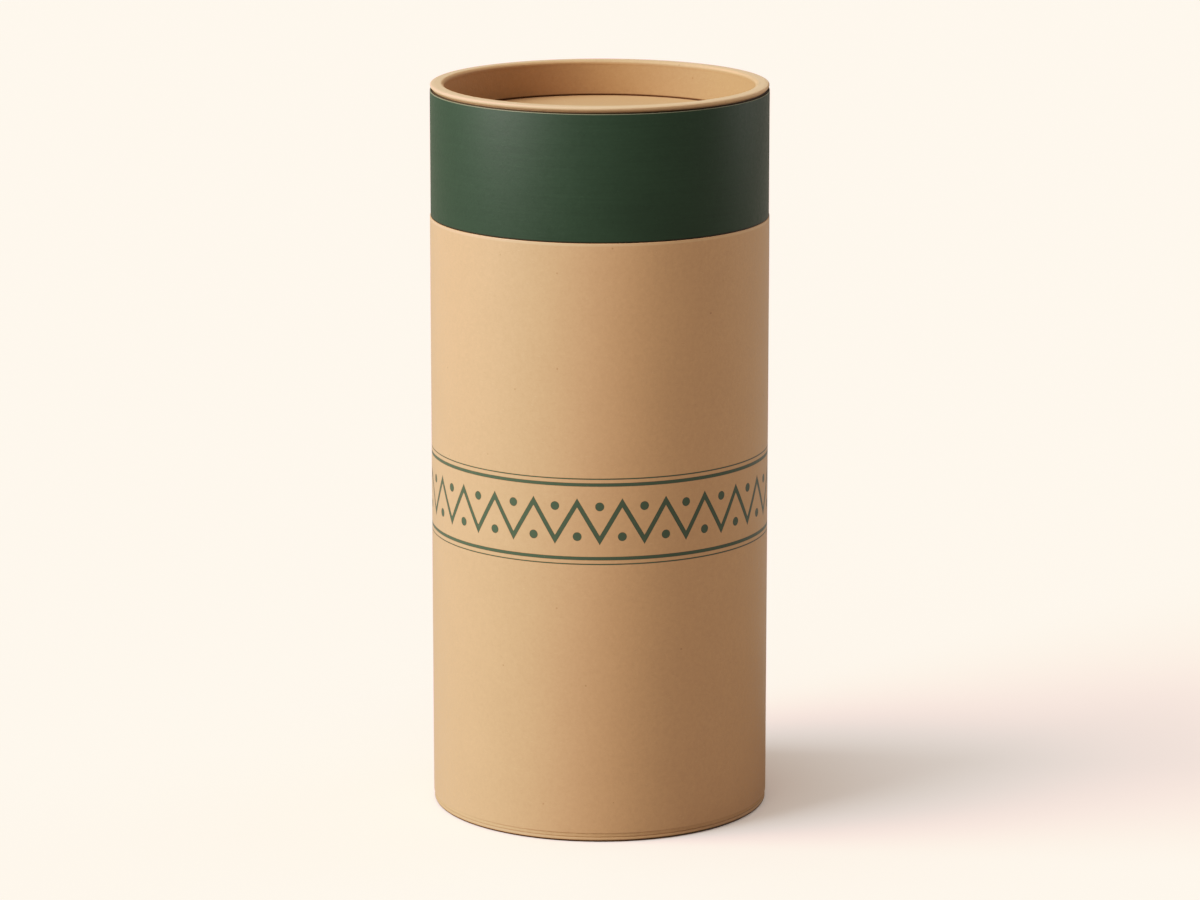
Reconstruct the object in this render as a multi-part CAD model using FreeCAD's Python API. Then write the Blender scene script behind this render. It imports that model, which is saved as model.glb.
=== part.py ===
"""A round cardboard tube with a push-on lid of almost the same diameter.

Both tubes are wound board. The body's foot and the lid's rim are rolled: the board turns inwards over a
rounded bead, with a crease under it, and its tail runs along the inside of the wall to a flat end board
that sits deep in the tube. A narrow slot stays open inside the roll. An inner tube stands on the base
board, lines the body and rises above its shoulder, so that the lid slides down over it and stops on the
shoulder. Each tube has a paper wrap that meets in a lap at the back: the body's is turned in over the
shoulder, and the lid's under the lid's mouth.

Each round stretch of an outline is a few straight bands, which keeps the solids light.

Frame: +Z is the tube's axis, +Y is the back, and the origin is the centre of the foot, on the
surface that the tube stands on. Sizes are in millimetres.
"""

import FreeCAD, Part
import math
import os

Vector = FreeCAD.Vector

# Overall sizes.
TOTAL_HEIGHT = 180.0
LID_HEIGHT = 32.5  # from the lid's mouth to the top of its rolled rim

# Board tubes, before they are wrapped.
BODY_DIAMETER = 82.5
BODY_WALL = 1.8
LID_WALL = 1.45
INNER_TUBE_WALL = 1.2
LID_CLEARANCE = 0.25  # on the radius, between the inner tube and the lid
NECK_HEADROOM = 1.5  # left above the inner tube when the lid is on
GLUE_LINE = 0.05  # left between round faces that are glued together

# Rolled ends, the same on both tubes.
BEAD_RADIUS = 1.0
OUTER_BAND_COUNT = 3  # straight bands that make the bead's outer round, down into the crease
INNER_BAND_COUNT = 2
ROLL_SLOT = 0.4  # left inside the roll, between the wall and the tail
CREASE_DEPTH = 0.15
CREASE_RISE = 0.15  # height over which the wall comes back out of the crease

# End boards.
RECESS_DEPTH = 8.9  # from the rim of a rolled end down to its board
END_BOARD_THICKNESS = 1.6

# Cut edges of the board.
SHOULDER_ROUNDING = 0.45
NECK_ROUNDING = 0.4

# Paper wraps.
BODY_WRAP_THICKNESS = 0.2
BODY_WRAP_FOOT = 2.3  # bare board left below the body's wrap
LID_WRAP_THICKNESS = 0.2
LID_WRAP_SETBACK = 0.4  # left between its turned-in edge and the inside of the lid
LAP_WIDTH = 8.0
LAP_RAMP = 1.5  # length over which the upper ply climbs onto the lower one
LAP_DIRECTION = 90.0  # degrees from +X: the back

# Places that follow from the sizes above.
SHOULDER = TOTAL_HEIGHT - LID_HEIGHT
BODY_RADIUS = BODY_DIAMETER / 2
BODY_BORE = BODY_RADIUS - BODY_WALL
INNER_TUBE_RADIUS = BODY_BORE - GLUE_LINE
LID_BORE = INNER_TUBE_RADIUS + LID_CLEARANCE
LID_RADIUS = LID_BORE + LID_WALL
BASE_BOARD_TOP = RECESS_DEPTH + END_BOARD_THICKNESS
LID_BOARD_UNDERSIDE = TOTAL_HEIGHT - BASE_BOARD_TOP
NECK_TOP = LID_BOARD_UNDERSIDE - NECK_HEADROOM


def arc(centre_radius, centre_height, radius, start, end, bands):
    """Points of a round stretch of an outline, with its angles in degrees from straight outwards."""
    turns = [math.radians(start + (end - start) * step / bands) for step in range(bands + 1)]
    return [
        (centre_radius + radius * math.cos(turn), centre_height + radius * math.sin(turn))
        for turn in turns
    ]


def turned(outline):
    """The ring that a closed outline of (radius, height) points sweeps round the tube's axis."""
    corners = [Vector(radius, 0, height) for radius, height in outline]
    section = Part.Face(Part.makePolygon(corners + corners[:1]))
    return section.revolve(Vector(0, 0, 0), Vector(0, 0, 1), 360)


def flipped(outline):
    """The same outline, measured down from the top of the whole tube."""
    return [(radius, TOTAL_HEIGHT - height) for radius, height in reversed(outline)]


def bead_size(wall):
    """A bead's radius, and the height above the rim at which the crease ends."""
    bead = min(BEAD_RADIUS, 0.45 * (2 * wall + ROLL_SLOT))
    crease_turn = math.acos(1 - CREASE_DEPTH / bead)
    return bead, bead + bead * math.sin(crease_turn) + CREASE_RISE


def rolled_tube(radius, wall, open_edge):
    """Outline of a board tube that stands on its rolled end. open_edge is the outer edge of its other end."""
    bead, crease_end = bead_size(wall)
    crease_turn = math.degrees(math.acos(1 - CREASE_DEPTH / bead))
    bore = radius - wall
    roll_bore = bore - ROLL_SLOT - wall
    length = open_edge[-1][1]
    return [
        *arc(radius - bead, bead, bead, -90, crease_turn, OUTER_BAND_COUNT),
        (radius, crease_end),
        *open_edge,
        (bore, length),
        (bore, wall),
        (bore - ROLL_SLOT, wall),
        (bore - ROLL_SLOT, RECESS_DEPTH),
        (roll_bore, RECESS_DEPTH),
        *arc(roll_bore + bead, bead, bead, 180, 270, INNER_BAND_COUNT),
    ]


def shoulder_edge(offset):
    """The shoulder's rounded outer edge, on the board or offset out to a face of its wrap."""
    centre_height = SHOULDER - BODY_WRAP_THICKNESS - GLUE_LINE - SHOULDER_ROUNDING
    return arc(BODY_RADIUS - SHOULDER_ROUNDING, centre_height, SHOULDER_ROUNDING + offset, 0, 90, 1)


def end_board(bore, height):
    """A flat round board that fills the bore, with its underside at the height."""
    return Part.makeCylinder(bore - GLUE_LINE, END_BOARD_THICKNESS, Vector(0, 0, height))


def wrap_lap(wrap_radius, thickness, bottom, top):
    """The strip where a wrap's upper ply climbs onto the lower one and ends at its cut edge."""
    inside = wrap_radius - thickness / 2
    outside = wrap_radius + thickness
    end = LAP_WIDTH / 2 / wrap_radius
    climbed = -end + LAP_RAMP / wrap_radius

    def place(radius, turn):
        angle = math.radians(LAP_DIRECTION) + turn
        return Vector(radius * math.cos(angle), radius * math.sin(angle), bottom)

    edges = [
        Part.makeLine(place(inside, -end), place(wrap_radius, -end)),
        Part.makeLine(place(wrap_radius, -end), place(outside, climbed)),
        Part.Arc(place(outside, climbed), place(outside, (climbed + end) / 2), place(outside, end)).toShape(),
        Part.makeLine(place(outside, end), place(inside, end)),
        Part.Arc(place(inside, end), place(inside, 0), place(inside, -end)).toShape(),
    ]
    return Part.Face(Part.Wire(edges)).extrude(Vector(0, 0, top - bottom))


def body_tube():
    """The body's board tube, rolled in at the foot and open at the shoulder."""
    return turned(rolled_tube(BODY_RADIUS, BODY_WALL, shoulder_edge(0)))


def lid_tube():
    """The lid's board tube, rolled in at the top and open at its mouth."""
    mouth_edge = [(LID_RADIUS, LID_HEIGHT - LID_WRAP_THICKNESS - GLUE_LINE)]
    return turned(flipped(rolled_tube(LID_RADIUS, LID_WALL, mouth_edge)))


def inner_tube():
    """The tube that lines the body and stands up as the neck for the lid."""
    inner_bore = INNER_TUBE_RADIUS - INNER_TUBE_WALL
    top_edge = arc(
        INNER_TUBE_RADIUS - NECK_ROUNDING, NECK_TOP - NECK_ROUNDING, NECK_ROUNDING, 0, 90, 1
    )
    return turned(
        [(INNER_TUBE_RADIUS, BASE_BOARD_TOP), *top_edge, (inner_bore, NECK_TOP), (inner_bore, BASE_BOARD_TOP)]
    )


def body_wrap():
    """The body's paper, from above the foot up and in over the shoulder, with its lap."""
    inside = BODY_RADIUS + GLUE_LINE
    surface = inside + BODY_WRAP_THICKNESS
    sleeve = turned(
        [
            (inside, BODY_WRAP_FOOT),
            (surface, BODY_WRAP_FOOT),
            *shoulder_edge(GLUE_LINE + BODY_WRAP_THICKNESS),
            (BODY_BORE, SHOULDER),
            (BODY_BORE, SHOULDER - BODY_WRAP_THICKNESS),
            *reversed(shoulder_edge(GLUE_LINE)),
        ]
    )
    lap_top = shoulder_edge(GLUE_LINE)[0][1]
    return sleeve.fuse(wrap_lap(surface, BODY_WRAP_THICKNESS, BODY_WRAP_FOOT, lap_top)).removeSplitter()


def lid_wrap():
    """The lid's paper, from the crease under the rim down and in under the mouth, with its lap."""
    inside = LID_RADIUS + GLUE_LINE
    surface = inside + LID_WRAP_THICKNESS
    top = TOTAL_HEIGHT - bead_size(LID_WALL)[1]
    hem_top = SHOULDER + LID_WRAP_THICKNESS
    turned_edge = LID_BORE + LID_WRAP_SETBACK
    sleeve = turned(
        [
            (inside, top),
            (inside, hem_top),
            (turned_edge, hem_top),
            (turned_edge, SHOULDER),
            (surface, SHOULDER),
            (surface, top),
        ]
    )
    return sleeve.fuse(wrap_lap(surface, LID_WRAP_THICKNESS, SHOULDER, top)).removeSplitter()


PARTS = {
    "body_tube": body_tube(),
    "body_wrap": body_wrap(),
    "inner_tube": inner_tube(),
    "base_board": end_board(BODY_BORE, RECESS_DEPTH),
    "lid_tube": lid_tube(),
    "lid_wrap": lid_wrap(),
    "lid_board": end_board(LID_BORE, LID_BOARD_UNDERSIDE),
}

os.makedirs("parts", exist_ok=True)
for name, shape in PARTS.items():
    shape.exportStep(os.path.join("parts", name + ".step"))
    print(name, "valid", shape.isValid(), "solids", len(shape.Solids), "volume", round(shape.Volume, 1))
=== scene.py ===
# %% [markdown]
# # A round cardboard tube with a push-on lid
#
# The real thing is a tube of wound kraft board. Its foot and the lid's rim are rolled inwards, an inner
# tube stands up as the neck for the lid, and paper is wrapped round the body and the lid.
#
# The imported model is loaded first. It is the fixed frame: each piece below goes where its node is, and the
# whole part keeps the size of the frame's box. All sizes in this lesson are in metres.

# %% Load the frame
import math

import bmesh
import bpy
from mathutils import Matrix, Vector


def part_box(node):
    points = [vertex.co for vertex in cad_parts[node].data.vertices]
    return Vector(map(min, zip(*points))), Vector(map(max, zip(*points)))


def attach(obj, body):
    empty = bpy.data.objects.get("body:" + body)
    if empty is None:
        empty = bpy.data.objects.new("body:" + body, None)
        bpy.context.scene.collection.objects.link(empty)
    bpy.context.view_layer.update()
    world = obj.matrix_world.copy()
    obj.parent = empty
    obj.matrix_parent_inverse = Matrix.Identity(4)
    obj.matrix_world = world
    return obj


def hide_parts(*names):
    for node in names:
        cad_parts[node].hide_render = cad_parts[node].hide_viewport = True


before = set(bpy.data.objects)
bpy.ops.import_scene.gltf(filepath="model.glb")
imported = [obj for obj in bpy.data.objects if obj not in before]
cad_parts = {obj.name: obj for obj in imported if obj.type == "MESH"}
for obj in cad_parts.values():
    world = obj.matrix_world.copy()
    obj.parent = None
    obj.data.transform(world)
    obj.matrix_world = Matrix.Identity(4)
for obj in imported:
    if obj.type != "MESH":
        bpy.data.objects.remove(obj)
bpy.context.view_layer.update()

# %% [markdown]
# ## Places and sizes
#
# Radii and heights are read from the nodes' boxes, so that the looks follow the construction. The nodes'
# boxes don't say how thick a wall is or how it is rolled, so those few sizes are named here.

# %% Read the places, and name the sizes that a box doesn't give
MM = 0.001

body_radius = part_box("body_tube")[1].x
body_paper_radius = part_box("body_wrap")[1].x
body_paper_foot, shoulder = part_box("body_wrap")[0].z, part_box("body_wrap")[1].z
neck_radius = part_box("inner_tube")[1].x
neck_foot, neck_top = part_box("inner_tube")[0].z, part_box("inner_tube")[1].z
lid_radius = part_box("lid_tube")[1].x
lid_paper_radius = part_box("lid_wrap")[1].x
lid_paper_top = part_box("lid_wrap")[1].z
total_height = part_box("lid_tube")[1].z
recess_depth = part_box("base_board")[0].z

body_wall, lid_wall, neck_wall = 1.8 * MM, 1.45 * MM, 1.2 * MM
glue_line = 0.05 * MM
paper = 0.2 * MM
shoulder_rounding = 0.45 * MM

print("body radius", body_radius, "lid radius", lid_radius, "shoulder", shoulder, "recess", recess_depth)

# %% [markdown]
# ## How a round wall is made
#
# A tube could start as a cylinder primitive, but a roll with a slot inside it would then need many insets.
# It is simpler to model the wall's section once, flat, and to spin it round the axis, as a lathe would. A
# plane primitive is added as the section of the wall. Its edges are extruded where the board goes on, its
# corners are bevelled where the board is soft, and only its outline is spun.
#
# Edges and corners are picked by their place: a radius and a height.

# %% Helpers to model a section
PLACE_TOLERANCE = 0.02 * MM
MERGE_DISTANCE = 0.001 * MM


def at(radius, height):
    """A test for what has its middle at a radius and a height of the section."""
    return lambda middle: (
        abs(middle.x - radius) < PLACE_TOLERANCE and abs(middle.z - height) < PLACE_TOLERANCE
    )


def pick(kind, test):
    """Selects only the vertices, edges or faces whose middle passes the test, and says how many."""
    bpy.ops.mesh.select_mode(type=kind)
    bpy.ops.mesh.select_all(action="DESELECT")
    mesh = bmesh.from_edit_mesh(bpy.context.object.data)
    found = 0
    for part in {"VERT": mesh.verts, "EDGE": mesh.edges, "FACE": mesh.faces}[kind]:
        corners = [part] if kind == "VERT" else list(part.verts)
        if test(sum((corner.co for corner in corners), Vector()) / len(corners)):
            part.select_set(True)
            found += 1
    mesh.select_flush_mode()
    bmesh.update_edit_mesh(bpy.context.object.data)
    return found


def add_section(name, inside, outside, bottom, top):
    """Adds a plane as a wall's section, standing at +X, and opens it in edit mode."""
    bpy.ops.object.select_all(action="DESELECT")
    bpy.ops.mesh.primitive_plane_add(
        size=1,
        location=((inside + outside) / 2, 0, (bottom + top) / 2),
        rotation=(math.pi / 2, 0, 0),
    )
    piece = bpy.context.object
    piece.name = piece.data.name = name
    piece.scale = (outside - inside, top - bottom, 1)
    bpy.ops.object.transform_apply(location=True, rotation=True, scale=True)
    bpy.ops.object.mode_set(mode="EDIT")
    return piece


def pull_edge(radius, height, along, up):
    """Extrudes the edge with its middle at that place."""
    pick("EDGE", at(radius, height))
    bpy.ops.mesh.extrude_edges_move(TRANSFORM_OT_translate={"value": (along, 0, up)})


def add_corners(radius, bottom, top, places):
    """Gives an upright edge as many new corners as there are places, and moves each to its place."""
    pick("EDGE", at(radius, (bottom + top) / 2))
    bpy.ops.mesh.subdivide(number_cuts=len(places))
    step = (top - bottom) / (len(places) + 1)
    for number, (new_radius, new_height) in reversed(list(enumerate(places, start=1))):
        pick("VERT", at(radius, bottom + number * step))
        bpy.ops.transform.translate(
            value=(new_radius - radius, 0, new_height - bottom - number * step)
        )


def round_corner(radius, height, size, segments):
    """Bevels the corner at that place."""
    pick("VERT", at(radius, height))
    bpy.ops.mesh.bevel(
        offset=size, segments=segments, affect="VERTICES", profile=0.5, clamp_overlap=False
    )


def join_faces():
    """Makes the section one face, with no edges inside it."""
    bpy.ops.mesh.select_mode(type="FACE")
    bpy.ops.mesh.select_all(action="SELECT")
    bpy.ops.mesh.dissolve_faces()


# %% [markdown]
# Spinning copies the outline step by step. The last copy lands on the first, so the doubles are merged, and
# only then are the normals made to point outwards. The turn has enough steps for a smooth silhouette.

# %% Helper to spin a section
ROUND_STEPS = 240
SHARP_FROM = math.radians(32)


def spin_section(piece):
    """Spins the section's outline round the tube's axis, closes it and shades it smooth."""
    pick("FACE", lambda middle: True)
    bpy.ops.mesh.delete(type="ONLY_FACE")
    bpy.ops.mesh.select_mode(type="VERT")
    bpy.ops.mesh.select_all(action="SELECT")
    bpy.ops.mesh.spin(
        steps=ROUND_STEPS, angle=2 * math.pi, use_auto_merge=True, center=(0, 0, 0), axis=(0, 0, 1)
    )
    bpy.ops.mesh.select_all(action="SELECT")
    bpy.ops.mesh.remove_doubles(threshold=MERGE_DISTANCE)
    bpy.ops.mesh.normals_make_consistent(inside=False)
    finish_shape(piece)


def finish_shape(piece):
    """Leaves edit mode, shades the piece smooth up to its sharp edges, and says how large it is."""
    bpy.ops.object.mode_set(mode="OBJECT")
    bpy.ops.object.shade_smooth_by_angle(angle=SHARP_FROM)
    size = [round(1000 * side, 2) for side in piece.dimensions]
    print(piece.name, "mm:", size, "faces:", len(piece.data.polygons))


# %% [markdown]
# ## The rolled board tubes
#
# On the real tube the board turns inwards over a soft bead, and its tail runs back along the inside of the
# wall to the end board. A crease is pressed in under the bead. Both tubes have this end, so one function
# models it, with the rolled end at height zero. On the body the crease is a fine pressed line. On the lid it
# is deep, and the paper's edge bridges its lower half, so that a dark gap stays between bead and paper.
#
# The bead's arc goes on into the crease. Its corner is first moved out to where the two lines that the arc
# touches meet, so that a single bevel gives the whole arc.

# %% Helper that models the section of a rolled wall
inner_bead = 1.0 * MM
roll_slot = 0.4 * MM
slot_rounding = 0.45 * roll_slot  # at both corners of the slot's closed end
crease_rise = 0.15 * MM
crease_edge = 0.05 * MM
tail_rounding = 0.42 * MM
BEVEL_SHARE = 0.995  # of the full length, so that no two corners fall together


def rolled_section(name, radius, wall, length, bead, set_in, crease_depth, crease_width):
    """A wall that stands on its rolled end, in section. The bead is set in from the wall's outside."""
    bore = radius - wall
    tail = bore - roll_slot
    roll_bore = tail - wall
    crease_turn = math.acos(1 - crease_depth / bead)
    crease = bead + bead * math.sin(crease_turn)
    crease_bottom = radius - set_in - crease_depth
    tangent = bead * math.tan((math.pi / 2 + crease_turn) / 2)

    piece = add_section(name, bore, radius, 0, length)
    add_corners(bore, 0, length, [(bore, wall)])
    pull_edge(bore, wall / 2, -roll_slot, 0)
    pull_edge(tail, wall / 2, -wall, 0)
    pull_edge((tail + roll_bore) / 2, wall, 0, recess_depth - wall)
    join_faces()

    wall_start = crease + crease_width + crease_rise
    add_corners(
        radius,
        0,
        length,
        [(crease_bottom, crease), (crease_bottom, crease + crease_width), (radius, wall_start)],
    )
    pick("VERT", at(radius, 0))
    bpy.ops.transform.translate(value=(tangent - bead - set_in, 0, 0))
    round_corner(radius - set_in - bead + tangent, 0, BEVEL_SHARE * tangent, segments=16)
    round_corner(roll_bore, 0, inner_bead, segments=12)
    round_corner(bore, wall, slot_rounding, segments=3)
    round_corner(tail, wall, slot_rounding, segments=3)
    round_corner(tail, recess_depth, tail_rounding, segments=5)
    round_corner(roll_bore, recess_depth, tail_rounding, segments=6)
    round_corner(radius, wall_start, crease_edge, segments=2)
    print(name, "crease from the end, mm:", round(1000 * crease, 2), "to", round(1000 * wall_start, 2))
    return piece


# %% Body tube
body_board_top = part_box("body_tube")[1].z

body_board = rolled_section(
    "body_board",
    body_radius,
    body_wall,
    body_board_top,
    bead=0.8 * MM,
    set_in=0,
    crease_depth=0.13 * MM,
    crease_width=0.05 * MM,
)
round_corner(body_radius, body_board_top, shoulder_rounding, segments=5)
spin_section(body_board)

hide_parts("body_tube")
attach(body_board, "body")

# %% [markdown]
# The lid's tube is the same section upside down. It is mirrored in height while it is still flat, about the
# middle of the whole tube's height, and the spin then sets its normals right.

# %% Lid tube
lid_board_length = total_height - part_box("lid_tube")[0].z
lid_board_edge = 0.15 * MM

lid_board_tube = rolled_section(
    "lid_board_tube",
    lid_radius,
    lid_wall,
    lid_board_length,
    bead=0.7 * MM,
    set_in=0.2 * MM,
    crease_depth=0.3 * MM,
    crease_width=0.55 * MM,
)
round_corner(lid_radius, lid_board_length, lid_board_edge, segments=3)
bpy.ops.mesh.select_all(action="SELECT")
bpy.ops.transform.resize(value=(1, 1, -1), center_override=(0, 0, total_height / 2))
spin_section(lid_board_tube)

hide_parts("lid_tube")
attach(lid_board_tube, "lid")

# %% [markdown]
# ## The neck
#
# The inner tube lines the body and stands up above the shoulder. Nothing is rolled here: its board ends in a
# cut edge, a little rounded by the lid that slides over it.

# %% Neck
neck_bore = neck_radius - neck_wall
neck_rounding = 0.4 * MM

neck = add_section("neck_tube", neck_bore, neck_radius, neck_foot, neck_top)
round_corner(neck_radius, neck_top, neck_rounding, segments=5)
round_corner(neck_bore, neck_top, neck_rounding / 2, segments=4)
spin_section(neck)

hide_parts("inner_tube")
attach(neck, "body")

# %% [markdown]
# ## The paper wraps
#
# A wrap is a real skin of paper: it starts in a cut edge, goes round the board and is turned in at the open
# end, over the body's shoulder or under the lid's mouth. Its two ends meet in a lap at the back, where one
# ply climbs onto the other. A strip laid over the sleeve would look alike, but the wrap would no longer be
# one sheet. So the lap is cut into the finished sleeve: three bisects give its lines, and the faces between
# them are extruded outwards by the paper's thickness. Then the first line is taken back to the surface,
# which makes the ramp.

# %% Helper that models a lap
lap_width = 8.0 * MM
lap_ramp = 1.5 * MM
lap_fade = 2.0 * MM  # height over which the lap flattens at its two ends


def add_lap(piece, radius, bottom, top):
    """Lets one end of a sleeve climb onto the other at the back, between two heights."""
    start = -lap_width / 2
    lines = [start, start + lap_ramp, -start]

    bpy.ops.object.select_all(action="DESELECT")
    piece.select_set(True)
    bpy.context.view_layer.objects.active = piece
    bpy.ops.object.mode_set(mode="EDIT")

    def at_back(middle):
        return middle.y > 0 and abs(middle.x) < 2 * lap_width

    def turn(middle):
        """Way round the sleeve from the middle of the back, as a length."""
        return radius * math.atan2(-middle.x, middle.y)

    def outer(middle):
        return middle.y > 0 and math.hypot(middle.x, middle.y) > radius - paper / 2

    for line in lines:
        angle = line / radius
        pick("FACE", at_back)
        bpy.ops.mesh.bisect(plane_co=(0, 0, 0), plane_no=(math.cos(angle), math.sin(angle), 0))
    for height in (bottom + lap_fade, top - lap_fade):
        pick("FACE", lambda middle: at_back(middle) and outer(middle))
        bpy.ops.mesh.bisect(plane_co=(0, 0, height), plane_no=(0, 0, 1))

    pick(
        "FACE",
        lambda middle: outer(middle)
        and lines[0] < turn(middle) < lines[2]
        and bottom < middle.z < top,
    )
    bpy.ops.mesh.extrude_region_move()
    raised = (radius + paper) / radius
    bpy.ops.transform.resize(value=(raised, raised, 1), center_override=(0, 0, 0))

    def lowered(middle):
        out = math.hypot(middle.x, middle.y) > radius + paper / 2
        ramp_foot = abs(turn(middle) - lines[0]) < PLACE_TOLERANCE
        end = middle.z < bottom + PLACE_TOLERANCE or middle.z > top - PLACE_TOLERANCE
        return out and middle.y > 0 and (ramp_foot or end)

    count = pick("VERT", lowered)
    bpy.ops.transform.resize(value=(1 / raised, 1 / raised, 1), center_override=(0, 0, 0))
    bpy.ops.mesh.select_all(action="SELECT")
    bpy.ops.mesh.remove_doubles(threshold=MERGE_DISTANCE)
    bpy.ops.mesh.normals_make_consistent(inside=False)
    print(piece.name, "lap: corners taken back to the surface:", count)
    finish_shape(piece)


# %% Body paper
cut_edge = 0.05 * MM
body_paper_inside = body_paper_radius - paper
shoulder_inner_edge = body_radius - body_wall

body_paper = add_section(
    "body_paper", body_paper_inside, body_paper_radius, body_paper_foot, shoulder - paper
)
pull_edge((body_paper_inside + body_paper_radius) / 2, shoulder - paper, 0, paper)
pull_edge(body_paper_inside, shoulder - paper / 2, shoulder_inner_edge - body_paper_inside, 0)
join_faces()
round_corner(body_paper_radius, shoulder, shoulder_rounding + glue_line + paper, segments=8)
round_corner(body_paper_inside, shoulder - paper, shoulder_rounding + glue_line, segments=6)
round_corner(body_paper_radius, body_paper_foot, cut_edge, segments=2)
spin_section(body_paper)
add_lap(
    body_paper,
    body_paper_radius,
    body_paper_foot + cut_edge,
    shoulder - shoulder_rounding - glue_line - paper,
)

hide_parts("body_wrap")
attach(body_paper, "body")

# %% Lid paper
lid_paper_inside = lid_paper_radius - paper
hem_setback = 0.4 * MM
mouth_rounding = 0.4 * MM
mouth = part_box("lid_wrap")[0].z
hem_edge = lid_radius - lid_wall + hem_setback

lid_paper = add_section("lid_paper", lid_paper_inside, lid_paper_radius, mouth + paper, lid_paper_top)
pull_edge((lid_paper_inside + lid_paper_radius) / 2, mouth + paper, 0, -paper)
pull_edge(lid_paper_inside, mouth + paper / 2, hem_edge - lid_paper_inside, 0)
join_faces()
round_corner(lid_paper_radius, mouth, mouth_rounding, segments=6)
round_corner(lid_paper_inside, mouth + paper, mouth_rounding - paper, segments=4)
round_corner(lid_paper_radius, lid_paper_top, cut_edge, segments=2)
spin_section(lid_paper)
add_lap(lid_paper, lid_paper_radius, mouth + mouth_rounding, lid_paper_top - cut_edge)

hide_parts("lid_wrap")
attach(lid_paper, "lid")

# %% [markdown]
# ## Helpers for materials
#
# Every finish is built from nodes. What several finishes share is a node group, with named inputs for what
# differs. A group puts out only colours, masks and heights, and the shader stays in the material.

# %% Node helpers


def srgb(red, green, blue):
    """A colour as a screen counts it, from 0 to 255, turned into light."""
    steps = [value / 255 for value in (red, green, blue)]
    return (*[s / 12.92 if s <= 0.04045 else ((s + 0.055) / 1.055) ** 2.4 for s in steps], 1)


def put(tree, kind, inputs=None, **settings):
    """Adds a node. Its inputs are numbers, colours, or the sockets of other nodes."""
    node = tree.nodes.new("ShaderNode" + kind)
    for name, value in settings.items():
        setattr(node, name, value)
    for name, value in (inputs or {}).items():
        if isinstance(value, bpy.types.NodeSocket):
            tree.links.new(value, node.inputs[name])
        else:
            node.inputs[name].default_value = value
    return node


def calculate(tree, operation, first, second=0.0, third=0.0, clamp=False):
    """A Math node's result."""
    node = put(tree, "Math", {0: first, 1: second, 2: third}, operation=operation, use_clamp=clamp)
    return node.outputs[0]


def mix(tree, share, first, second, blend="MIX"):
    """Two colours mixed by a share."""
    node = put(tree, "Mix", {0: share, 6: first, 7: second}, data_type="RGBA", blend_type=blend)
    return node.outputs[2]


def ramp(tree, value, low, high):
    """A value from 0 at low to 1 at high, smooth between them."""
    node = put(
        tree,
        "MapRange",
        {"Value": value, "From Min": low, "From Max": high},
        interpolation_type="SMOOTHSTEP",
    )
    return node.outputs["Result"]


def noise(tree, vector, scale, detail=2.0, roughness=0.5):
    """A noise texture's value."""
    return put(
        tree,
        "TexNoise",
        {"Vector": vector, "Scale": scale, "Detail": detail, "Roughness": roughness},
    ).outputs[0]


def scaled(tree, colour, share):
    """A colour made lighter or darker."""
    return put(tree, "VectorMath", {0: colour, "Scale": share}, operation="SCALE").outputs[0]


def varied(tree, value, amount, middle=1.0):
    """A shade that swings round its middle: a noise of 0.5 leaves it there."""
    return calculate(tree, "MULTIPLY_ADD", calculate(tree, "SUBTRACT", value, 0.5), amount, middle)


def hypotenuse(tree, first, second):
    """The distance that two sides at a right angle span."""
    square = calculate(tree, "MULTIPLY", second, second)
    return calculate(tree, "SQRT", calculate(tree, "MULTIPLY_ADD", first, first, square))


def new_group(name, inputs, outputs):
    """A node group with named sockets: its tree, what comes in, and what goes out."""
    group = bpy.data.node_groups.new(name, "ShaderNodeTree")
    for label, kind, value in inputs:
        socket = group.interface.new_socket(label, in_out="INPUT", socket_type="NodeSocket" + kind)
        if value is not None:
            socket.default_value = value
    for label, kind in outputs:
        group.interface.new_socket(label, in_out="OUTPUT", socket_type="NodeSocket" + kind)
    return group, group.nodes.new("NodeGroupInput").outputs, group.nodes.new("NodeGroupOutput").inputs


def use_group(tree, group, inputs):
    """Places a node group with its own values, and gives its outputs."""
    node = tree.nodes.new("ShaderNodeGroup")
    node.node_tree = group
    for name, value in inputs.items():
        if isinstance(value, bpy.types.NodeSocket):
            tree.links.new(value, node.inputs[name])
        else:
            node.inputs[name].default_value = value
    return node.outputs


# %% [markdown]
# ## Paper and board
#
# Kraft paper isn't one brown. Seen close, it has soft clouds where the pulp is denser, a mottled grain about
# a millimetre wide, a few pale and dark fibres that lie in all directions, and rare dark specks of bark. A
# picture of real paper would need a map of the surface, and would show a seam or repeat itself, so the sheet
# is made of noise in space. One group serves the boards, the kraft paper, the neck and the green paper, each
# with its own colours and amounts.

# %% Group: paper fibres
fibres, given, made = new_group(
    "Paper fibres",
    [
        ("Vector", "Vector", None),
        ("Base", "Color", srgb(185, 142, 100)),
        ("Pale fibre", "Color", srgb(214, 176, 134)),
        ("Dark fibre", "Color", srgb(150, 108, 68)),
        ("Speck", "Color", srgb(110, 76, 46)),
        ("Clouds", "Float", 0.09),
        ("Grain", "Float", 0.3),
        ("Fibres", "Float", 0.25),
        ("Specks", "Float", 0.45),
    ],
    [("Colour", "Color"), ("Roughness", "Float"), ("Height", "Float")],
)
tree = fibres

clouds = noise(tree, given["Vector"], 70, 3)  # about 14 mm wide
mottle = noise(tree, given["Vector"], 900, 2, 0.6)  # about 1 mm
grain = noise(tree, given["Vector"], 2000, 2, 0.6)  # about 0.5 mm

SQUEEZE = (1, 1, 6)  # noise squeezed along one direction shows as threads across it
threads = []
for turn, size in (((0.5, 0.3, 0.0), 900), ((-0.6, 0.9, 0.4), 800)):
    turned = put(
        tree, "Mapping", {"Vector": given["Vector"], "Rotation": turn, "Scale": SQUEEZE}
    ).outputs[0]
    threads.append(ramp(tree, noise(tree, turned, size, 1, 0.5), 0.68, 0.8))
pale, dark = threads

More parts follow.
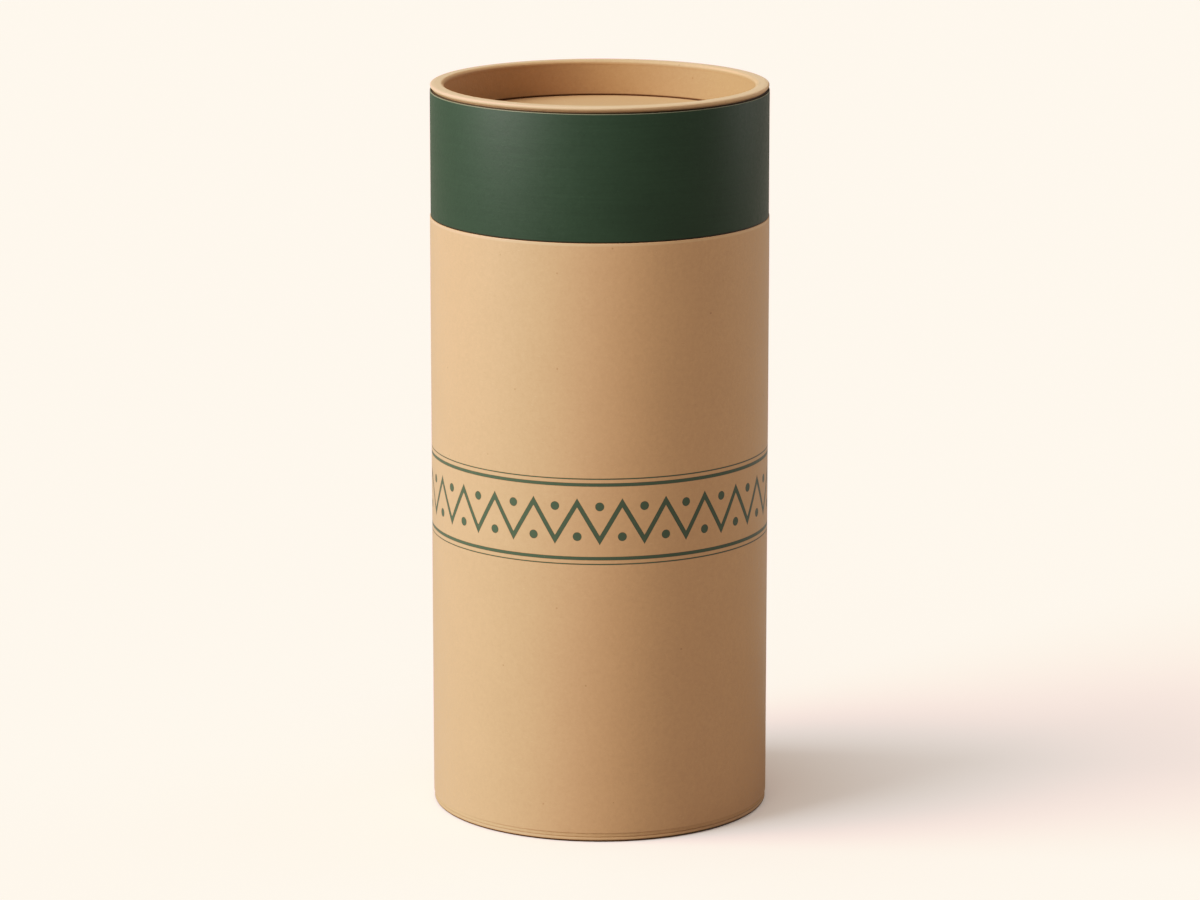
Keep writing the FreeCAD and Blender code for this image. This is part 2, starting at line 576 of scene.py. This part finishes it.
cells = put(
    tree, "TexVoronoi", {"Vector": given["Vector"], "Scale": 300.0, "Randomness": 1.0}, feature="F1"
)
chosen = ramp(tree, put(tree, "SeparateColor", {0: cells.outputs["Color"]}).outputs[0], 0.84, 0.9)
near_middle = calculate(tree, "SUBTRACT", 1.0, ramp(tree, cells.outputs["Distance"], 0.04, 0.1))
specks = calculate(tree, "MULTIPLY", chosen, near_middle)

both = calculate(tree, "MULTIPLY_ADD", mottle, 0.6, calculate(tree, "MULTIPLY", grain, 0.4))
shade = varied(tree, both, given["Grain"], varied(tree, clouds, given["Clouds"]))
sheet_colour = scaled(tree, given["Base"], shade)
for mask, amount, colour in (
    (pale, "Fibres", "Pale fibre"),
    (dark, "Fibres", "Dark fibre"),
    (specks, "Specks", "Speck"),
):
    share = calculate(tree, "MULTIPLY", mask, given[amount])
    sheet_colour = mix(tree, share, sheet_colour, given[colour])

tree.links.new(sheet_colour, made["Colour"])
tree.links.new(calculate(tree, "MULTIPLY_ADD", mottle, 0.2, -0.1), made["Roughness"])
tree.links.new(calculate(tree, "MULTIPLY_ADD", pale, 0.15, both), made["Height"])
print("paper fibres:", len(tree.nodes), "nodes")

# %% [markdown]
# ## Places on a round piece
#
# Creases, worn edges, seams and print all lie at a height, at a distance from the axis or at a turn round it.
# One group works these three out of the Object coordinates. The turn is 0 at the front and half a turn, to
# either side, at the back. "Profile" grows outwards across a flat rim and on down its outer round. A second
# group marks a soft band between two values of any of them.

# %% Group: place on the tube
round_place, given, made = new_group(
    "Place on the tube",
    [("Vector", "Vector", None)],
    [("Radius", "Float"), ("Height", "Float"), ("Turn", "Float"), ("Profile", "Float")],
)
tree = round_place
sides = put(tree, "SeparateXYZ", {0: given["Vector"]}).outputs
radius_here = hypotenuse(tree, sides["X"], sides["Y"])
turn_here = calculate(tree, "ARCTAN2", sides["X"], calculate(tree, "MULTIPLY", sides["Y"], -1.0))
tree.links.new(radius_here, made["Radius"])
tree.links.new(sides["Z"], made["Height"])
tree.links.new(calculate(tree, "DIVIDE", turn_here, 2 * math.pi), made["Turn"])
tree.links.new(calculate(tree, "SUBTRACT", radius_here, sides["Z"]), made["Profile"])
print("place on the tube:", len(tree.nodes), "nodes")

# %% Group: soft band
BEYOND = 1.0  # a limit that no place on the tube reaches

soft_band, given, made = new_group(
    "Soft band",
    [
        ("Value", "Float", 0.0),
        ("Low", "Float", 0.0),
        ("High", "Float", 0.001),
        ("Softness", "Float", 0.0001),
    ],
    [("Mask", "Float")],
)
tree = soft_band
half = calculate(tree, "MULTIPLY", given["Softness"], 0.5)
edges = []
for limit in ("Low", "High"):
    start = calculate(tree, "SUBTRACT", given[limit], half)
    end = calculate(tree, "ADD", given[limit], half)
    edges.append(ramp(tree, given["Value"], start, end))
tree.links.new(calculate(tree, "SUBTRACT", edges[0], edges[1]), made["Mask"])
print("soft band:", len(tree.nodes), "nodes")

# %% Helpers for masks


def band(tree, value, low, high, softness):
    """A soft band between two values, as a mask."""
    limits = {"Value": value, "Low": low, "High": high, "Softness": softness}
    return use_group(tree, soft_band, limits)["Mask"]


def all_of(tree, *masks):
    """The product of some masks."""
    result = masks[0]
    for mask in masks[1:]:
        result = calculate(tree, "MULTIPLY", result, mask)
    return result


def layered(tree, colour, layers):
    """Lays more colours over a first one, each by its mask and its strength."""
    for mask, strength, over in layers:
        colour = mix(tree, all_of(tree, mask, strength), colour, over)
    return colour


# %% [markdown]
# ## Streaks of the rolling tool
#
# A rolled end is pressed over by a spinning tool, which leaves fine streaks that run round the rim. They are
# noise that changes slowly round the tube and fast across the streaks.

# %% Group: rolled streaks
ROUND_SCALE, ACROSS_SCALE = 60.0, 4500.0  # a streak is about 17 mm long and 0.2 mm wide

streaks, given, made = new_group(
    "Rolled streaks",
    [("Vector", "Vector", None), ("Across", "Float", 0.0)],
    [("Streaks", "Float")],
)
tree = streaks
sides = put(tree, "SeparateXYZ", {0: given["Vector"]}).outputs
stretched = put(
    tree,
    "CombineXYZ",
    {
        "X": calculate(tree, "MULTIPLY", sides["X"], ROUND_SCALE),
        "Y": calculate(tree, "MULTIPLY", sides["Y"], ROUND_SCALE),
        "Z": calculate(tree, "MULTIPLY", given["Across"], ACROSS_SCALE),
    },
).outputs[0]
tree.links.new(noise(tree, stretched, 1.0, 2, 0.6), made["Streaks"])
print("rolled streaks:", len(tree.nodes), "nodes")

# %% [markdown]
# ## Materials
#
# Each material starts with one Principled shader. What is the same all over a surface, such as how strongly
# it reflects, is set on the shader itself. Paper hardly reflects, so that value is low. The sheet's uneven
# roughness swings round the shader's own value.

# %% Helpers that start and finish a material


def new_material(name, roughness, specular):
    """A material with one Principled shader: its tree, the shader and the Object coordinates."""
    material = bpy.data.materials.new(name)
    material.use_nodes = True
    tree = material.node_tree
    shader = tree.nodes["Principled BSDF"]
    shader.inputs["Roughness"].default_value = roughness
    shader.inputs["Specular IOR Level"].default_value = specular
    place = tree.nodes.new("ShaderNodeTexCoord").outputs["Object"]
    return material, tree, shader, place


def finish_material(tree, shader, colour, sheet, height, relief):
    """Feeds colour, roughness and relief to the shader. The relief is given as a depth."""
    tree.links.new(colour, shader.inputs["Base Color"])
    even = shader.inputs["Roughness"].default_value
    rough = calculate(tree, "ADD", sheet["Roughness"], even, clamp=True)
    tree.links.new(rough, shader.inputs["Roughness"])
    bump = put(tree, "Bump", {"Height": height, "Distance": relief, "Strength": 1.0})
    tree.links.new(bump.outputs[0], shader.inputs["Normal"])


def finish_piece(piece, material):
    """Gives a piece its material, in all its slots."""
    if not piece.data.materials:
        piece.data.materials.append(material)
    for slot in piece.material_slots:
        slot.material = material
    print(piece.name, "has", material.name)


# %% [markdown]
# ## Kraft board
#
# The board shows at the rolled ends. Its rims carry the tool's streaks, and the lid's rim has a painted
# highlight. The crease under the lid's rim is painted dark as shade, the wall inside the roll is painted a
# deeper brown as shade, and a dark gap stays where the roll meets the end board, deepened by painted
# shade. The foot is painted darker, as shade with a little soil, its fine crease gets painted shade, and a
# painted shadow darkens it most where the tube stands. Each of these could be painted by hand on a map,
# but they all lie at fixed heights and radii, so soft bands place them exactly.

# %% Kraft board: the sheet, and where its marks lie
rim_depth = 1.2 * MM
roll_inside = body_radius - 2 * body_wall - roll_slot + 0.75 * MM  # just past both rolls' inner faces

kraft_board, tree, shader, place = new_material("Kraft board", 0.6, 0.15)
sheet = use_group(tree, fibres, {"Vector": place, "Base": srgb(186, 143, 101), "Grain": 0.34})
here = use_group(tree, round_place, {"Vector": place})
run = use_group(tree, streaks, {"Vector": place, "Across": here["Profile"]})["Streaks"]

lid_end = calculate(tree, "SUBTRACT", total_height, here["Height"])
end_distance = calculate(tree, "MINIMUM", lid_end, here["Height"])
inside_roll = band(tree, here["Radius"], 0, roll_inside, 0.3 * MM)
# Painted shade: the wall inside the roll, down in the recess, is made a deeper brown.
inner_wall = all_of(
    tree, inside_roll, band(tree, end_distance, 0.5 * MM, recess_depth + 1 * MM, 0.7 * MM)
)
rim = band(tree, end_distance, -BEYOND, rim_depth, 0.5 * MM)
# Painted highlight: the lid's rim top and outer round are made paler.
rim_highlight = all_of(
    tree,
    band(tree, lid_end, -BEYOND, rim_depth, 0.4 * MM),
    band(tree, here["Radius"], roll_inside + 0.6 * MM, BEYOND, 0.6 * MM),
)
# Painted shade in the deep crease under the lid's rim.
lid_crease = all_of(
    tree,
    band(tree, lid_end, 1.34 * MM, 2.2 * MM, 0.16 * MM),
    band(tree, here["Radius"], lid_radius - lid_wall, BEYOND, 0.1 * MM),
)
gap = all_of(
    tree, inside_roll, band(tree, end_distance, recess_depth - 0.45 * MM, BEYOND, 0.35 * MM)
)
# Painted shade, with a little soil, darkens the foot.
foot_shade_and_soil = band(tree, here["Height"], -BEYOND, 1.5 * MM, 0.8 * MM)
# Painted shade in the fine crease above the foot.
foot_crease = band(tree, here["Height"], 1.14 * MM, 1.36 * MM, 0.12 * MM)
# A painted shadow where the tube stands on the floor.
contact_shadow = band(tree, here["Height"], -BEYOND, 0.62 * MM, 0.3 * MM)

# %% Kraft board: its colours and relief
RECESS_SHADE_TINT = srgb(214, 208, 196)
DARK_FOOT_BROWN = srgb(120, 86, 54)
GAP_SHADE = srgb(60, 34, 12)

# Painted shade for the roll's inner wall.
recess_shade_colour = mix(tree, 1.0, sheet["Colour"], RECESS_SHADE_TINT, blend="MULTIPLY")
colour = mix(tree, inner_wall, sheet["Colour"], recess_shade_colour)
colour = mix(tree, rim, colour, scaled(tree, colour, varied(tree, run, 0.45)))
colour = layered(
    tree,
    colour,
    [
        # painted highlight on the lid's rim
        (rim_highlight, 0.42, srgb(222, 184, 144)),
        # painted shade and a little soil at the foot
        (foot_shade_and_soil, 0.32, DARK_FOOT_BROWN),
        # painted shade in the crease above the foot
        (foot_crease, 0.35, DARK_FOOT_BROWN),
        # painted shade in the crease under the lid's rim
        (lid_crease, 0.95, srgb(34, 26, 10)),
        (gap, 0.9, GAP_SHADE),
        # painted shadow where the tube stands
        (contact_shadow, 0.9, srgb(46, 28, 12)),
    ],
)
height = calculate(tree, "MULTIPLY_ADD", all_of(tree, rim, run), 1.2, sheet["Height"])
finish_material(tree, shader, colour, sheet, height, relief=0.07 * MM)
finish_piece(body_board, kraft_board)
finish_piece(lid_board_tube, kraft_board)

# %% [markdown]
# ## Kraft paper, with a plain printed band
#
# The body's paper is the same pulp, calendered smoother. Its fold over the shoulder has a pale painted
# highlight, and under the lid it is dark where no light reaches. A plain ornament of rules, a zigzag and dots
# is printed round the middle in the lid's green. A picture wrapped round the tube could hold it, but it would
# blur up close. So the ornament is worked out from the turn and the height, with a whole number of repeats,
# so that it meets itself at the back, and the ink lets a little of the grain through.

# %% Group: zigzag band
REPEATS = 24
RULES = ((8.6 * MM, 9.5 * MM), (10.3 * MM, 10.65 * MM))  # above and below the band's middle
ZIGZAG_REACH = 4.6 * MM
ZIGZAG_HALF_WIDTH = 1.15 * MM  # measured upright, across the slanting line
DOT_PLACE, DOT_RADIUS = 3.7 * MM, 1.1 * MM
INK_EDGE = 0.1 * MM

ornament, given, made = new_group(
    "Zigzag band",
    [("Turn", "Float", 0.0), ("Height", "Float", 0.0), ("Pitch", "Float", 0.0108)],
    [("Ink", "Float")],
)
tree = ornament
from_middle = calculate(tree, "ABSOLUTE", given["Height"])
inks = [band(tree, from_middle, start, end, INK_EDGE) for start, end in RULES]

wave = calculate(tree, "PINGPONG", calculate(tree, "MULTIPLY", given["Turn"], REPEATS), 0.5)
zigzag = calculate(tree, "MULTIPLY", calculate(tree, "SUBTRACT", wave, 0.25), 4 * ZIGZAG_REACH)
from_zigzag = calculate(tree, "SUBTRACT", given["Height"], zigzag)
inks.append(band(tree, from_zigzag, -ZIGZAG_HALF_WIDTH, ZIGZAG_HALF_WIDTH, 1.6 * INK_EDGE))

for height, shift in ((DOT_PLACE, 0.0), (-DOT_PLACE, 0.5)):
    along = calculate(tree, "MULTIPLY_ADD", given["Turn"], REPEATS, shift)
    across = calculate(tree, "MULTIPLY", calculate(tree, "PINGPONG", along, 0.5), given["Pitch"])
    above = calculate(tree, "SUBTRACT", given["Height"], height)
    inks.append(band(tree, hypotenuse(tree, across, above), -BEYOND, DOT_RADIUS, INK_EDGE))

ink = inks[0]
for more in inks[1:]:
    ink = calculate(tree, "MAXIMUM", ink, more)
tree.links.new(ink, made["Ink"])
print("zigzag band:", REPEATS, "repeats,", len(tree.nodes), "nodes")

# %% Kraft paper
print_height = 80 * MM

kraft_paper, tree, shader, place = new_material("Kraft paper", 0.42, 0.32)
sheet = use_group(tree, fibres, {"Vector": place, "Base": srgb(190, 143, 101)})
here = use_group(tree, round_place, {"Vector": place})

# A painted highlight on the paper's rounded fold over the shoulder.
shoulder_highlight = all_of(
    tree,
    band(tree, here["Height"], shoulder - 0.65 * MM, shoulder - 0.1 * MM, 0.25 * MM),
    band(tree, here["Radius"], body_radius - 0.1 * MM, BEYOND, 0.1 * MM),
)
under_lid = band(tree, here["Radius"], 0, body_radius - 0.04 * MM, 0.12 * MM)
# The paper's cut edge at the foot is made darker.
cut = band(tree, here["Height"], -BEYOND, body_paper_foot + 0.08 * MM, 0.08 * MM)
printed = use_group(
    tree,
    ornament,
    {
        "Turn": here["Turn"],
        "Height": calculate(tree, "SUBTRACT", here["Height"], print_height),
        "Pitch": 2 * math.pi * body_paper_radius / REPEATS,
    },
)["Ink"]
covering = calculate(tree, "MULTIPLY_ADD", ramp(tree, sheet["Height"], 0.62, 0.8), -0.22, 0.97)

colour = layered(
    tree,
    sheet["Colour"],
    [
        # painted highlight on the shoulder's fold
        (shoulder_highlight, 0.35, srgb(214, 176, 134)),
        (under_lid, 0.9, srgb(46, 34, 14)),
        (cut, 0.3, DARK_FOOT_BROWN),
        (printed, covering, srgb(40, 66, 48)),
    ],
)
finish_material(tree, shader, colour, sheet, sheet["Height"], relief=0.05 * MM)
finish_piece(body_paper, kraft_paper)

# %% [markdown]
# ## Neck
#
# The inner tube is wound from narrow plies. Its outer ply shows a fine seam that climbs round it like a
# screw thread, the lid rubs pale rings on it, and its cut edge shows the plies as fine rings. The seam is
# where height and turn together come to a whole number of pitches, so no line has to be drawn.

# %% Neck board
ply = 0.3 * MM
seam_pitch = 62 * MM

neck_board, tree, shader, place = new_material("Neck board", 0.6, 0.15)
sheet = use_group(
    tree, fibres, {"Vector": place, "Base": srgb(190, 152, 114), "Clouds": 0.12, "Grain": 0.34}
)
here = use_group(tree, round_place, {"Vector": place})
climb = calculate(tree, "MULTIPLY_ADD", here["Height"], 1 / seam_pitch, here["Turn"])
seam_distance = calculate(tree, "MULTIPLY", calculate(tree, "PINGPONG", climb, 0.5), seam_pitch)
seam = band(tree, seam_distance, -BEYOND, 0.12 * MM, 0.1 * MM)
beside_seam = band(tree, seam_distance, 0.1 * MM, 0.9 * MM, 0.8 * MM)
cut = band(tree, here["Height"], neck_top - 0.12 * MM, BEYOND, 0.1 * MM)
ring = calculate(tree, "PINGPONG", calculate(tree, "DIVIDE", here["Radius"], ply), 0.5)
rings = all_of(tree, cut, ramp(tree, ring, 0.3, 0.46))
run = use_group(tree, streaks, {"Vector": place, "Across": here["Height"]})["Streaks"]
above_shoulder = band(tree, here["Height"], shoulder, BEYOND, 6 * MM)
sliding = all_of(tree, ramp(tree, run, 0.55, 0.75), above_shoulder)

colour = layered(
    tree,
    sheet["Colour"],
    [
        (sliding, 0.35, srgb(212, 178, 142)),
        (beside_seam, 0.25, srgb(206, 170, 132)),
        (seam, 0.75, srgb(112, 82, 54)),
        (cut, 0.35, srgb(176, 136, 98)),
        (rings, 0.6, srgb(124, 90, 58)),
    ],
)
height = calculate(tree, "MULTIPLY_ADD", calculate(tree, "MAXIMUM", seam, rings), -1.5, sheet["Height"])
finish_material(tree, shader, colour, sheet, height, relief=0.08 * MM)
finish_piece(neck, neck_board)

# %% [markdown]
# ## End boards
#
# These two flat boards are the construction's own pieces and only get a finish. They lie deep in the rolled
# ends, so their edge is painted dark as shade where the roll covers it.

# %% End boards
end_board, tree, shader, place = new_material("End board", 0.62, 0.15)
sheet = use_group(
    tree, fibres, {"Vector": place, "Base": srgb(178, 136, 94), "Clouds": 0.14, "Grain": 0.34}
)
here = use_group(tree, round_place, {"Vector": place})
# Painted shade on the board's edge, where the roll covers it.
covered = band(tree, here["Radius"], roll_inside - 0.5 * MM, BEYOND, 0.8 * MM)
colour = layered(tree, sheet["Colour"], [(covered, 0.85, GAP_SHADE)])
finish_material(tree, shader, colour, sheet, sheet["Height"], relief=0.08 * MM)
for name in ("base_board", "lid_board"):
    finish_piece(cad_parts[name], end_board)

# %% [markdown]
# ## Green paper
#
# The lid's paper has a thin painted highlight along its cut edge under the rim. It has a soft sheen and faint
# streaks round it, and where it turns in under the mouth it is painted dark as shade.

# %% Green paper
green_paper, tree, shader, place = new_material("Green paper", 0.46, 0.14)
sheet = use_group(
    tree,
    fibres,
    {
        "Vector": place,
        "Base": srgb(30, 48, 33),
        "Pale fibre": srgb(46, 66, 49),
        "Dark fibre": srgb(24, 38, 27),
        "Speck": srgb(22, 34, 24),
        "Clouds": 0.2,
        "Grain": 0.3,
        "Fibres": 0.3,
        "Specks": 0.3,
    },
)
here = use_group(tree, round_place, {"Vector": place})
widened = calculate(tree, "MULTIPLY", here["Height"], 0.35)
run = use_group(tree, streaks, {"Vector": place, "Across": widened})["Streaks"]
# A thin painted highlight along the paper's top cut edge.
top_edge_highlight = band(tree, here["Height"], lid_paper_top - 0.1 * MM, BEYOND, 0.08 * MM)
# Painted shade where the paper turns in under the lid's mouth.
turned_in = band(tree, here["Height"], -BEYOND, mouth + mouth_rounding, 0.14 * MM)

colour = layered(
    tree,
    scaled(tree, sheet["Colour"], varied(tree, run, 0.25)),
    [(top_edge_highlight, 0.6, srgb(140, 142, 116)), (turned_in, 0.9, srgb(26, 22, 8))],
)
finish_material(tree, shader, colour, sheet, sheet["Height"], relief=0.04 * MM)
finish_piece(lid_paper, green_paper)

# %% [markdown]
# ## Floor
#
# The tube stands on a plain pale floor that fills the whole picture. In the photograph its shadow is dark at
# the foot and fades fast, and the bright floor throws little light back. So the floor glows to the camera
# alone, more with the distance from the tube, and its paint grows darker with it, so that the lit floor
# keeps one tone. What lights the tube from below is a plainer and darker paint.

# %% Floor
FLOOR_RADIUS = 12
FLOOR_PAINT = (0.95, 0.83, 0.75)
BOUNCE_PAINT = (0.3, 0.275, 0.24, 1)  # what the tube sees of the floor
FLOOR_GLOW, NEAR_GLOW = 0.7, 0.1
GLOW_COLOUR = (1.0, 0.81, 0.7, 1)
DARKENING = 0.33
FADE_END = 0.15  # distance from the axis at which the glow is full

bpy.ops.object.select_all(action="DESELECT")
bpy.ops.mesh.primitive_circle_add(vertices=96, radius=FLOOR_RADIUS, fill_type="NGON", location=(0, 0, 0))
floor = bpy.context.object
floor.name = floor.data.name = "floor"

floor_paint, tree, shader, place = new_material("Floor paint", 1.0, 0.0)
here = use_group(tree, round_place, {"Vector": place})
seen = tree.nodes.new("ShaderNodeLightPath").outputs["Is Camera Ray"]
far = ramp(tree, here["Radius"], body_radius, FADE_END)
paint = scaled(tree, FLOOR_PAINT, calculate(tree, "MULTIPLY_ADD", far, -DARKENING, 1.0))
tree.links.new(mix(tree, seen, BOUNCE_PAINT, paint), shader.inputs["Base Color"])
glow = calculate(tree, "MULTIPLY", seen, calculate(tree, "MULTIPLY_ADD", far, FLOOR_GLOW, NEAR_GLOW))
tree.links.new(mix(tree, glow, (0, 0, 0, 1), GLOW_COLOUR), shader.inputs["Emission Color"])
shader.inputs["Emission Strength"].default_value = 1.0
finish_piece(floor, floor_paint)

# %% [markdown]
# ## Light
#
# One broad soft light from the left, a little to the front, gives the tube its bright left side and the long
# fade to the right. A wider and weaker one above it opens the rim, and a faint one from the right draws a
# thin pale edge on the dark side. The room's own light is warm and even.

# %% Light


def add_light(name, azimuth, height, energy, width, colour):
    """A far light. Its azimuth counts from the camera's side of the tube, towards the right."""
    azimuth, height = math.radians(azimuth), math.radians(height)
    bpy.ops.object.light_add(type="SUN")
    light = bpy.context.object
    light.name = light.data.name = name
    light.data.energy = energy
    light.data.angle = math.radians(width)
    light.data.color = colour
    to_light = Vector(
        (
            math.sin(azimuth) * math.cos(height),
            -math.cos(azimuth) * math.cos(height),
            math.sin(height),
        )
    )
    light.rotation_euler = to_light.to_track_quat("Z", "Y").to_euler()
    print(name, "light, strength", energy)


add_light("key", azimuth=-72, height=30, energy=7.9, width=46, colour=(1.0, 0.93, 0.905))
add_light("top", azimuth=-62, height=56, energy=1.5, width=80, colour=(1.0, 0.95, 0.93))
add_light("edge", azimuth=112, height=15, energy=0.7, width=40, colour=(1.0, 0.95, 0.9))

# %% Room
ROOM_COLOUR = (1.0, 0.9, 0.8, 1)
ROOM_STRENGTH = 0.42

world = bpy.data.worlds.new("Room")
bpy.context.scene.world = world
world.use_nodes = True
room = world.node_tree.nodes["Background"]
room.inputs["Color"].default_value = ROOM_COLOUR
room.inputs["Strength"].default_value = ROOM_STRENGTH

# %% [markdown]
# ## Camera
#
# The camera stands in front and looks down a little, so that the lid's sunk board just shows. It is far off
# with a long lens, because the tube's sides stay almost upright in the photograph.

# %% Camera
CAMERA_PLACE = (0.00006, -1.1935, 0.3548)
LOOKS_DOWN = 12.584  # degrees

bpy.ops.object.camera_add(location=CAMERA_PLACE, rotation=(math.radians(90 - LOOKS_DOWN), 0, 0))
camera = bpy.context.object
camera.name = camera.data.name = "camera"
camera.data.sensor_width = 36
camera.data.lens = 148.55
camera.data.clip_end = 50
bpy.context.scene.camera = camera
print("camera:", camera.data.lens, "mm lens, looks down", LOOKS_DOWN, "degrees")

# %% [markdown]
# A photograph doesn't show light as it is: it keeps the shadows and lets what is bright roll off softly
# towards white. A film curve in the scene's colour management does the same for every view.

# %% Film curve
FILM_WHITE = 2.4  # light that the curve's right end stands for
FILM_POINTS = [(0.07, 0.073), (0.33, 0.31), (0.70, 0.546), (1.35, 0.783), (1.82, 0.955), (2.1, 0.99)]

view = bpy.context.scene.view_settings
view.view_transform = "Standard"
view.use_curve_mapping = True
film = view.curve_mapping
film.white_level = (FILM_WHITE,) * 3
for light, shown in FILM_POINTS:
    film.curves[3].points.new(light / FILM_WHITE, shown)
film.update()
